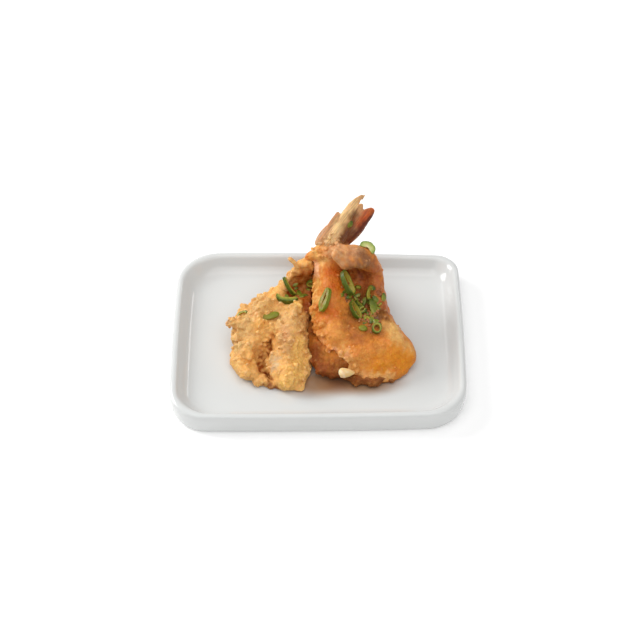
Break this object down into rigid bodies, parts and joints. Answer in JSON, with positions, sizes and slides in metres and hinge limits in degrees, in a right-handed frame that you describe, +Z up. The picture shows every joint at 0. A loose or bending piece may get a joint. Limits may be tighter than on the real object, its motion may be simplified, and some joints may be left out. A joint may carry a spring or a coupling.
{
  "type": "plate of garlic shrimp",
  "caption": "Small rectangular rimmed ceramic plate with a leaning heap of battered fried shrimp, one tail fan standing up behind, and cut spring onion scattered on top.",
  "frame": {"origin": "on the table, under the middle of the plate", "axes": "+X along the plate's long side to the viewer's right, +Y from the viewer's side of the plate to its far side, +Z up"},
  "size_m": [0.1533, 0.1205, 0.066],
  "materials": {
    "glazed_white": "gloss",
    "crust_right": "oily fried crust",
    "crust_left": "dry fried crust",
    "crust_under": "oily fried crust",
    "tail_shell": "satin shell",
    "garlic": "moist",
    "spring_onion": "moist"
  },
  "bodies": {
    "root": {"plate": "glazed_white", "shrimp_right": "crust_right", "shrimp_left": "crust_left", "shrimp_under": "crust_under", "tail_fan": "tail_shell", "garlic_bit": "garlic", "onion_01": "spring_onion", "onion_02": "spring_onion", "onion_03": "spring_onion", "onion_04": "spring_onion", "onion_05": "spring_onion", "onion_06": "spring_onion", "onion_07": "spring_onion", "onion_08": "spring_onion", "onion_09": "spring_onion", "onion_10": "spring_onion", "onion_11": "spring_onion", "onion_12": "spring_onion", "onion_13": "spring_onion", "onion_14": "spring_onion", "onion_15": "spring_onion", "onion_16": "spring_onion", "onion_17": "spring_onion"}
  },
  "joints": []
}
